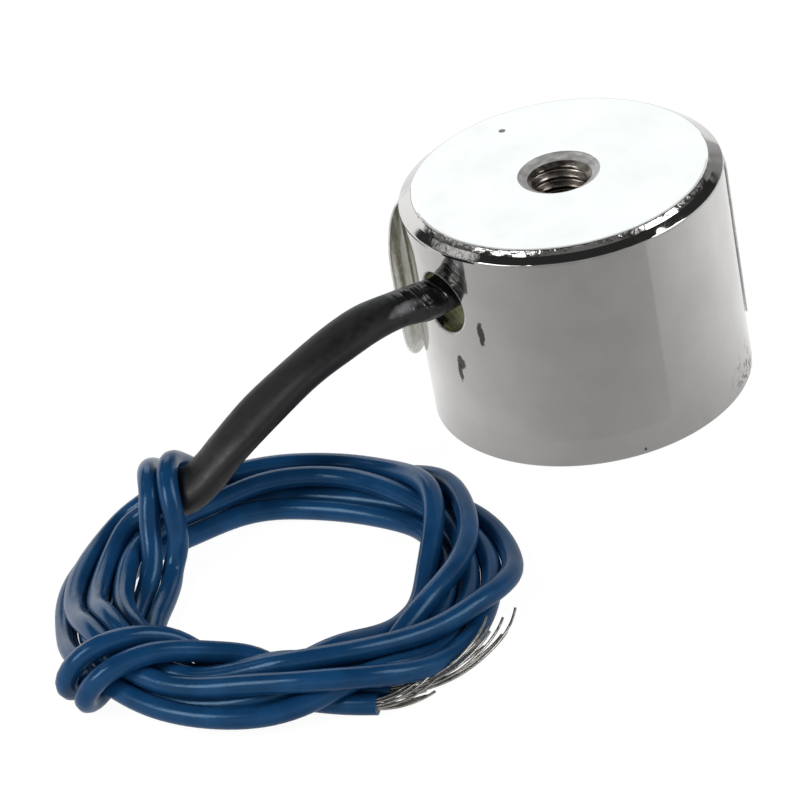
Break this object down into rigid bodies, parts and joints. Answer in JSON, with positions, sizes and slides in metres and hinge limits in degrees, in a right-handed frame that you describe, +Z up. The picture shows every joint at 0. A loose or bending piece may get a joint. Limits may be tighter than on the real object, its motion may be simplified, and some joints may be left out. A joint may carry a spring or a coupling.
{
  "type": "holding electromagnet",
  "caption": "Small round holding electromagnet: a plated steel pot with a tapped mounting hole on top, a flat potted holding face below and blue leads in a black sleeve, coiled beside it.",
  "frame": {"origin": "centre of the holding face, on which the magnet stands", "axes": "+Z up along the pot's axis, out of the tapped hole; the leads leave the wall along -X"},
  "size_m": [0.0516, 0.0292, 0.015],
  "materials": {
    "plated_steel": "bright plating, slightly soft",
    "nylon": "moulded",
    "copper": "enamelled wire",
    "tape": "film",
    "resin": "cast",
    "solder": "soldered",
    "blue_insulation": "satin",
    "black_sleeve": "matte",
    "label_film": "glossy film"
  },
  "bodies": {
    "root": {"pot_body": "plated_steel", "bobbin": "nylon", "winding": "copper", "coil_tape": "tape", "potting_resin": "resin", "joint_a": "solder", "joint_b": "solder", "lead_tail_a": "blue_insulation", "lead_tail_b": "blue_insulation", "lead_sleeve": "black_sleeve", "lead_coil": "blue_insulation", "label": "label_film"}
  },
  "joints": []
}
